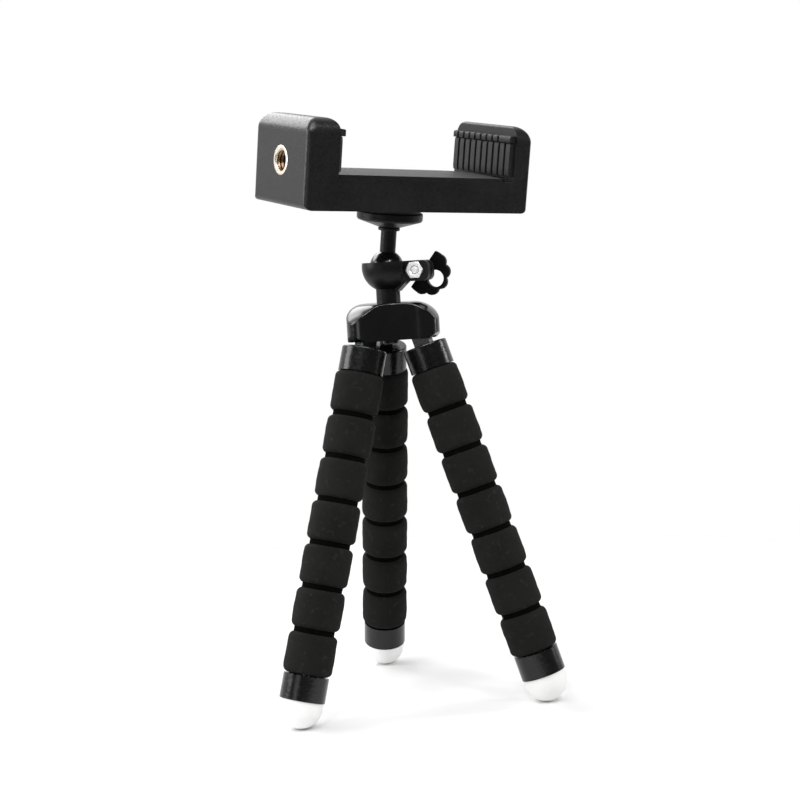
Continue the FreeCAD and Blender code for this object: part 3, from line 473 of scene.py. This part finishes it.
def dress_leg(number, angle):
    """One leg: each bulge rides its own body, and the necks and runs of wire between them are set in place
    at rest.
    """
    place = on_leg(angle)
    segments = [f"leg_{number}_segment_{k}" for k in range(2, FOAM_BULGES)]
    bodies = [f"leg_{number}_top", *segments, f"leg_{number}_end"]
    for index, body in enumerate(bodies):
        form = foam_bulge(index, 7 * number + 1.7 * index)
        bulge = piece(f"leg_{number}_bulge_{index + 1}", form, place, foam)
        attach(bulge, body)
        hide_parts(f"leg_{number}_foam_{index + 1}")
    for index in range(FOAM_BULGES - 1):
        boundary = FOAM_START + (index + 1) * FOAM_PITCH
        bend_start = spot(place, 0, 0, FOAM_GROOVE / 2 - boundary)
        bend_end = spot(place, 0, 0, -FOAM_GROOVE / 2 - boundary)
        form = foam_neck(boundary, 3 * number + index)
        # The neck takes the foam with painted groove shade.
        neck = piece(f"leg_{number}_neck_{index + 1}", form, place, groove_foam_painted_shade)
        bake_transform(neck)
        top, low = boundary - FOAM_PITCH / 2, boundary + FOAM_PITCH / 2
        if index == 0:
            top = WIRE_TOP
        if index == FOAM_BULGES - 2:
            low = FERRULE_END - PLUG_LENGTH - WIRE_END_GAP
        wire = piece(f"leg_{number}_wire_{index + 1}", wire_run(top, low), place, soft_steel)
        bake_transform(wire)
        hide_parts(f"leg_{number}_core_wire")


# Threads, nut, bolt and springs

def thread_radius(root, crest, pitch, height, angle):
    """A screw thread's radius between root and crest: a triangle wave of the height in pitches less the
    turn, stretched and cut off so that root and crest have narrow flats."""
    phase = height / pitch - angle / (2 * math.pi)
    wave = np.abs(2 * (phase - np.floor(phase)) - 1)
    return root + (crest - root) * np.clip(wave * 1.25 - 0.12, 0, 1)


def threaded_bush(length, rim):
    """A brass bush along Z from its mouth, and its tone: a thread cut in its bore, a bevelled mouth, and an
    outside with its rim. The bore swings between its radius and the thread's depth beyond it by height and
    angle, and the tone, a painted shade in the bore, is one in the thread, easing to nought at the mouth."""
    steps = 96
    easing = (0.9, 0.7, 0.5, 0.3)
    thread_height = np.linspace(length - 0.3, 0.55, 96)
    thread = thread_radius(INSERT_BORE + CAMERA_DEPTH, INSERT_BORE, CAMERA_PITCH, thread_height[:, None],
                           around(steps))
    shell = np.array([[INSERT_BORE + 0.45, 0.38], [INSERT_BORE + 0.62, 0.16], [INSERT_BORE + 0.75, 0],
                      [rim - 0.25, 0], [rim - 0.06, 0.06], [rim, 0.25], [rim, 0.6],
                      [INSERT_RADIUS, 0.6], [INSERT_RADIUS, length - 0.3], [INSERT_RADIUS - 0.3, length],
                      [INSERT_BORE + 0.5, length]])
    radius = np.concatenate([thread, np.repeat(shell[:, :1], steps, 1)])
    height = np.concatenate([thread_height, shell[:, 1]])
    # Painted shade: one down in the thread, easing to nought at the mouth and outside.
    tone = np.concatenate([np.ones(len(thread_height) - len(easing)), easing, np.zeros(len(shell))])
    return ringed(about_z(radius, height, steps)), np.repeat(tone[:, None], steps, 1)


def dress_inserts():
    """The brass bushes in the clip's end and in its underside."""
    for name, insert, length, rim, place in (
            ("end_thread_bush", "end_thread_insert", INSERT_LENGTH, INSERT_FLANGE, on_clip_end),
            ("base_thread_bush", "base_thread_insert", BASE_INSERT_LENGTH, INSERT_RADIUS, on_clip)):
        form, tone = threaded_bush(length, rim)
        bush = piece(name, form, place, bush_brass, 30.0, tone)
        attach(bush, "clip")
        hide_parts(insert)


def hexagon_radius(angle, flats):
    """Distance from the axis to a hexagon's side: half the flats over the cosine of the angle from the
    side's middle."""
    folded = (angle + math.pi / 6) % (math.pi / 3) - math.pi / 6
    return flats / 2 / np.cos(folded)


def nut_form(start):
    """The hexagonal nut along Z: its sides at a hexagon's distance, both rims bevelled in proportion to how
    far that distance passes a circle just inside the flats, and a thread in its bore."""
    steps = 144
    angle = around(steps) + math.pi / 6
    out = hexagon_radius(angle + math.pi / 6, NUT_FLATS)
    circle = NUT_FLATS / 2 * 0.97
    rim = np.minimum(out, circle)
    bevel = np.maximum(out - circle, 0) * 0.55 + 0.02
    mouth = np.full(steps, NUT_BORE + 0.2)
    base, top = np.zeros(steps), np.full(steps, NUT_THICKNESS)
    thread_height = np.linspace(NUT_THICKNESS - 0.25, 0.25, 30)[:, None]
    thread = thread_radius(NUT_BORE + 0.02, NUT_BORE - 0.22, M3_PITCH, thread_height, angle)
    radius = np.concatenate([[mouth, rim, out, out, rim, mouth], thread])
    height = np.concatenate([[base, base, bevel, top - bevel, top, top], np.repeat(thread_height, steps, 1)])
    rings = np.stack([radius * np.cos(angle), radius * np.sin(angle), height + start], -1)
    return ringed(rings[:, ::-1])


def threaded_rod(start, end):
    """The bolt's shank along Z: helical ridges on the core, faded out over the last pitch into a bevelled
    tip that narrows as the square root of the distance from the end."""
    steps = 48
    core = BOLT_RADIUS - M3_DEPTH
    height = np.linspace(start, end, int((end - start) / M3_PITCH * 14) + 2)
    ridge = thread_radius(core, BOLT_RADIUS, M3_PITCH, height[:, None], around(steps))
    tip = np.clip((end - height) / M3_PITCH, 0, 1)[:, None]
    return capped(about_z(core * (0.86 + 0.14 * tip ** 0.5) + (ridge - core) * tip, height, steps))


def bolt_head(start):
    """The bolt's round head along Z: a short cylinder with softened rims, by radius and height."""
    r, length = BOLT_HEAD_RADIUS, BOLT_HEAD_LENGTH
    outline = np.array([[0.35, 0], [r - 0.4, 0], [r - 0.1, 0.12], [r, 0.35], [r, length - 0.3],
                        [r - 0.15, length - 0.05], [r - 0.9, length]])
    return capped(about_z(outline[:, 0], outline[:, 1] + start, 40))


def dress_clamp():
    """The clamp's nut, and the bolt that turns with the knob."""
    nut = piece("clamp_nut", nut_form(-EAR_HALF - NUT_PROUD), on_bolt, bright_steel, 25.0)
    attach(nut, "hub")
    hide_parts("hex_nut")
    head_start = FAN_START - BOLT_HEAD_LENGTH / 2
    shank = half_turned(threaded_rod(-head_start, EAR_HALF - BOLT_END_INSET))
    bolt = piece("clamp_bolt_threaded", joined(shank, bolt_head(head_start)), on_bolt, bright_steel,
                 35.0)
    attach(bolt, "knob")
    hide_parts("clamp_bolt")


def spring_coil(side):
    """A close-wound spring along X: a thin tube whose middle line is a helix of so many turns."""
    t = np.linspace(0, 1, SPRING_TURNS * 18 + 1)
    angle = t * SPRING_TURNS * 2 * math.pi
    out = SPRING_RADIUS - SPRING_WIRE
    run = SPRING_END - SPRING_START - 2 * SPRING_WIRE
    middle = np.stack([SPRING_START + SPRING_WIRE + t * run, out * np.cos(angle), out * np.sin(angle)], -1)
    outward = np.stack([np.zeros_like(t), np.cos(angle), np.sin(angle)], -1)
    a = around(8)[None, :, None]
    section = outward[:, None] * np.cos(a) + np.array((1.0, 0, 0)) * np.sin(a)
    rings = middle[:, None] + SPRING_WIRE * section
    return capped(rings + np.array((0, side * SPRING_OUT, SPRING_HEIGHT)))


def dress_springs():
    """Both springs as one piece, set in place at rest."""
    form = joined(spring_coil(-1), spring_coil(1))
    coils = piece("clip_spring_coils", form, on_clip, bright_steel, 60.0)
    start, end = (spot(on_clip, x, 0, SPRING_HEIGHT) for x in (SPRING_START, SPRING_END))
    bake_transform(coils)
    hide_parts("clip_springs")


# Rubber pads of the jaws

def rib_pulse(y):
    """One on a rib and nought in a groove: a cosine of y with one wave to each rib, cut off above and below,
    and eased as three squares less two cubes."""
    wave = 0.5 + 0.5 * np.cos(2 * math.pi * ((y + PAD_WIDTH / 2) / RIB_PITCH - 0.5))
    pulse = np.clip((wave - 0.05) / 0.16, 0, 1)
    return pulse * pulse * (3 - 2 * pulse)


def pad_outline():
    """The pad's outline up the front, out under the lip and back over it, with a row for each point: x, z,
    how far a rib stands out there, how far a groove sinks, how deep the lip is notched, how much painted
    shade darkens a groove, and how much painted shade darkens the notched part of the lip."""
    under, reach = LIP_TOP - LIP_HEIGHT, PAD_THICKNESS + LIP_REACH
    rise = np.linspace(PAD_LOW + 0.12, under - 0.3, 9)
    front = [[PAD_THICKNESS, z, RIB_HEIGHT, RIB_GROOVE, 0, 1, 0] for z in rise]
    front[0][2], front[-1][2] = 0.5, 0.6
    lip = [[PAD_THICKNESS + 0.05, under - 0.06, 0, 0.3, 0, 1, 0],
           [PAD_THICKNESS + 0.4, under, 0, 0.1, 0, 1, 0],
           [reach - 0.5, under, 0, 0, 0.5, 1, 0.5],
           [reach - 0.1, under + 0.02, 0, 0, 0.9, 1, 0.5],
           [reach, under + 0.12, 0, 0, 1, 1, 0.5],
           [reach, LIP_TOP - 0.5, 0, 0, 1, 1, 0.5],
           [reach - 0.1, LIP_TOP - 0.3, 0, 0, 0.95, 0.5, 0.5],
           [reach - 0.45, LIP_TOP - 0.14, 0, 0, 0.55, 0.5, 0.5],
           [PAD_THICKNESS + 0.2, LIP_TOP - 0.05, 0, 0, 0.1, 0.5, 0.5],
           [PAD_THICKNESS - 0.3, LIP_TOP, 0, 0, 0, 0.5, 0.5]]
    back = ((0.02, LIP_TOP), (0.02, LIP_TOP - 3), (0.02, PAD_LOW + 3), (0.02, PAD_LOW), (0.6, PAD_LOW),
            (PAD_THICKNESS - 0.2, PAD_LOW))
    return np.array(front + lip + [[x, z, 0, 0, 0, 0, 0] for x, z in back])


def ribbed_pad(face, direction):
    """A pad on a jaw's face, and its tone: its outline is carried across the jaw in y. Where a smooth pulse
    of y is high the front stands out by the rib. Where it is low the front sinks by the groove and the
    lip's edge is notched, but for its plain end nearest the jaw's front. The tone is painted shade, lower
    in the grooves and on the notched lip, and less so at the plain end."""
    y = np.linspace(-PAD_WIDTH / 2, PAD_WIDTH / 2, PAD_RIBS * 24 + 1)[:, None]
    pulse = rib_pulse(y)
    low = 1 - pulse
    plain = np.clip((-PAD_WIDTH / 2 + 1.25 * RIB_PITCH - y) / 0.2, 0, 1)
    x, z, rib, groove, notch, groove_painted_shade, lip_painted_shade = pad_outline().T
    out = x + rib * pulse - groove * low - notch * low * (1 - plain)
    rings = np.stack(np.broadcast_arrays(face + direction * out, y, z), -1)
    # Painted shade: the tone darkens the grooves and the lip's rows, less at the plain end.
    tone = (1 - groove_painted_shade * low * (1 - 0.5 * plain)) * (1 - lip_painted_shade * (1 - plain))
    order = slice(None, None, direction)
    return sliced(rings[order]), tone[order]


def dress_pads():
    """The ribbed pads, each on its own jaw."""
    for name, pad_node, face, direction, body in (
            ("fixed_jaw_ribs", "fixed_jaw_pad", FIXED_FACE, 1, "clip"),
            ("moving_jaw_ribs", "moving_jaw_pad", MOVING_FACE, -1, "moving_jaw")):
        form, tone = ribbed_pad(face, direction)
        pad = piece(name, form, on_clip, rib_black, 50.0, tone)
        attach(pad, body)
        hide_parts(pad_node)


# The CAD's own pieces

LOOKS = {
    "clip_base": satin_black, "moving_jaw": satin_black, "clip_cover_plate": cover_grain,
    "hub_shell": gloss_black, "ball_socket": stem_black, "ball": gloss_black, "stem": stem_black,
    "stem_lock_ring": stem_black, "platform": stem_black, "clamp_knob": knob_black,
    "hub_retainer_plate": sleeve_black, "platform_rubber_pad": pad_rubber,
    "leg_hinge_pins": bright_steel, "hub_centre_screw": black_steel, "tripod_stud": bright_steel,
    "cover_screws": bright_steel,
}


def dress_cad():
    """The CAD's own pieces take their finishes: sleeves and feet by how a name ends, the rest by name."""
    for name, obj in nodes.items():
        if name.endswith(("_collar", "_ferrule")):
            finish = sleeve_black
        elif name.endswith("_foot"):
            finish = foot_rubber
        else:
            finish = LOOKS.get(name)
        if finish:
            obj.data.materials.clear()
            obj.data.materials.append(finish)


# Light, floor and camera

CAMERA_PLACE = (AXIS_X - 287.14, AXIS_Y - 481.49, 154.86)
CAMERA_TURN, CAMERA_DOWN, CAMERA_ROLL = 31.01, 4.97, -3.34      # degrees, the turn from +Y towards +X
CAMERA_LENS, CAMERA_SENSOR = 72.0, 36.0
AMBIENT, ROOM_LIGHT, OVERHEAD_LIGHT = 0.52, 0.10, 5.0       # strengths, where one is white
ROOM_SIDE = (-0.423, -0.906, 0.0)               # towards where a photographer stands
OVERHEAD_SIDE = (-0.2575, -0.4285, 0.866)       # up over the camera
FLOOR_RADIUS, FLOOR_DROP = 320.0, 0.05
BANK_LAMPS, BANK_START, BANK_STEP, BANK_NEAR = 4, -330, 260, 330
BANK_HEIGHT, BANK_RISE = 153, 0.9
BANK_SIZE, BANK_POWER = (60, 60), 0.5
MIDDLE_HEIGHT = 150

# Each lamp's place right of, above and beyond the hub's axis, the height that it faces, its size and power
SOFT_LAMPS = {
    "clamp_lamp": ((-400, 130, -513), MIDDLE_HEIGHT, (200, 200), 0.22),
    "left_soft_lamp": ((-590, 300, -70), 110, (300, 320), 1.9),
    "upper_left_lamp": ((-490, 560, 160), MIDDLE_HEIGHT, (340, 340), 0.6),
    "right_soft_lamp": ((600, 260, 60), 110, (100, 300), 1.0),
    "back_soft_lamp": ((-310, 540, 385), 170, (560, 280), 2.4),
}


def set_matrix(obj, x, y, z, place):
    """Puts an object at a place with the given directions as its own axes."""
    rows = np.eye(4)
    rows[:3, 0], rows[:3, 1], rows[:3, 2], rows[:3, 3] = x, y, z, np.array(place) * MM
    obj.matrix_world = Matrix(rows.tolist())


def from_camera(right, up, ahead):
    """A place by how far it is right of the hub's axis and beyond it for the camera, and above the floor."""
    a = math.radians(CAMERA_TURN)
    x = AXIS_X + right * math.cos(a) + ahead * math.sin(a)
    y = AXIS_Y - right * math.sin(a) + ahead * math.cos(a)
    return x, y, up


def lamp(name, place, faces_height, size, power):
    """A soft rectangular lamp that faces the hub's axis at a height, places in millimetres."""
    data = bpy.data.lights.new(name, "AREA")
    data.shape = "RECTANGLE"
    data.size, data.size_y = size[0] * MM, size[1] * MM
    data.energy = power
    obj = bpy.data.objects.new(name, data)
    bpy.context.scene.collection.objects.link(obj)
    aim = np.array((AXIS_X, AXIS_Y, faces_height)) - np.array(place)
    right = np.cross(aim, (0, 0, 1.0))
    right /= np.linalg.norm(right)
    back = -aim / np.linalg.norm(aim)
    set_matrix(obj, right, np.cross(back, right), back, place)


def lamps():
    """A bank of small lamps over the camera, each higher the further it is from the hub's axis, and the
    larger soft lamps."""
    for k in range(BANK_LAMPS):
        right = BANK_START + BANK_STEP * k
        up = BANK_HEIGHT + BANK_RISE * math.hypot(right, BANK_NEAR)
        lamp(f"bank_lamp_{k + 1}", from_camera(right, up, -BANK_NEAR), MIDDLE_HEIGHT, BANK_SIZE, BANK_POWER)
    for name, (place, faces_height, size, power) in SOFT_LAMPS.items():
        lamp(name, from_camera(*place), faces_height, size, power)


def added(tree, first, second):
    """The sum of two sockets."""
    add = tree.nodes.new("ShaderNodeMath")
    add.operation = "ADD"
    tree.links.new(first, add.inputs[0])
    tree.links.new(second, add.inputs[1])
    return add.outputs[0]


def ray_kinds(tree, *kinds):
    """One or more for rays of the given kinds, which a mix takes as one, and nought for other rays."""
    path = tree.nodes.new("ShaderNodeLightPath")
    total = path.outputs[kinds[0]]
    for other in kinds[1:]:
        total = added(tree, total, path.outputs[other])
    return total


def chosen(tree, factor, without, within):
    """One value where the factor is nought and another where it is one; each is a number or a socket."""
    mix = tree.nodes.new("ShaderNodeMix")
    tree.links.new(factor, mix.inputs["Factor"])
    for key, value in (("A", without), ("B", within)):
        if isinstance(value, float):
            mix.inputs[key].default_value = value
        else:
            tree.links.new(value, mix.inputs[key])
    return mix.outputs["Result"]


def towards(tree, sky, side, start, end, low, high):
    """A value that eases from low to high as the dot product of the sky's direction with a side goes from
    start to end."""
    near = tree.nodes.new("ShaderNodeVectorMath")
    near.operation = "DOT_PRODUCT"
    near.inputs[1].default_value = side
    tree.links.new(sky, near.inputs[0])
    step = node(tree, "ShaderNodeMapRange", From_Min=start, From_Max=end, To_Min=low, To_Max=high)
    step.interpolation_type = "SMOOTHSTEP"
    tree.links.new(near.outputs["Value"], step.inputs["Value"])
    return step.outputs["Result"]


def white_surround():
    """A white background and an even soft light. Shiny surfaces see white behind the object and at its
    sides, a dim room where a photographer stands, and a bright patch up over the camera."""
    world = bpy.data.worlds.new("white_studio")
    bpy.context.scene.world = world
    world.use_nodes = True
    tree = world.node_tree
    back = tree.nodes["Background"]
    back.inputs["Color"].default_value = (1, 1, 1, 1)
    sky = tree.nodes.new("ShaderNodeTexCoord").outputs["Generated"]
    room = towards(tree, sky, ROOM_SIDE, -0.50, -0.15, 1.0, ROOM_LIGHT)
    overhead = towards(tree, sky, OVERHEAD_SIDE, 0.84, 0.93, 0.0, OVERHEAD_LIGHT)
    seen_shiny = ray_kinds(tree, "Is Glossy Ray", "Is Transmission Ray")
    light = chosen(tree, seen_shiny, AMBIENT, added(tree, room, overhead))
    tree.links.new(chosen(tree, ray_kinds(tree, "Is Camera Ray"), light, 1.0), back.inputs["Strength"])


def pale_floor():
    """A round white floor just under the feet, which keeps the object's shadow."""
    a = around(96)
    rim = np.stack([FLOOR_RADIUS * np.cos(a), FLOOR_RADIUS * np.sin(a), np.full(len(a), -FLOOR_DROP)], -1)
    mesh = bpy.data.meshes.new("studio_floor")
    mesh.from_pydata((rim * MM).tolist(), [], [list(range(len(a)))])
    obj = bpy.data.objects.new("studio_floor", mesh)
    bpy.context.scene.collection.objects.link(obj)
    paper = new_material("white_paper", (0.86, 0.86, 0.86), 0.9, specular=0.1)[0]
    mesh.materials.append(paper)


def photo_camera():
    """The photograph's viewpoint, fitted to the clip, the hub and the feet."""
    data = bpy.data.cameras.new("photo_camera")
    data.sensor_width = CAMERA_SENSOR
    data.lens = CAMERA_LENS
    data.clip_start, data.clip_end = 0.01, 20.0
    obj = bpy.data.objects.new("photo_camera", data)
    bpy.context.scene.collection.objects.link(obj)
    bpy.context.scene.camera = obj
    turn, down, roll = (math.radians(v) for v in (CAMERA_TURN, CAMERA_DOWN, CAMERA_ROLL))
    ahead = np.array((math.sin(turn) * math.cos(down), math.cos(turn) * math.cos(down), -math.sin(down)))
    right = np.cross(ahead, (0, 0, 1.0))
    right /= np.linalg.norm(right)
    up = np.cross(right, ahead)
    x = right * math.cos(roll) + up * math.sin(roll)
    y = -right * math.sin(roll) + up * math.cos(roll)
    set_matrix(obj, x, y, -ahead, CAMERA_PLACE)


dress_cad()
for leg, leg_angle in enumerate(LEG_ANGLES, 1):
    dress_leg(leg, leg_angle)
dress_clamp()
dress_inserts()
dress_springs()
dress_pads()
white_surround()
pale_floor()
lamps()
photo_camera()
bpy.context.scene.view_settings.view_transform = "Standard"
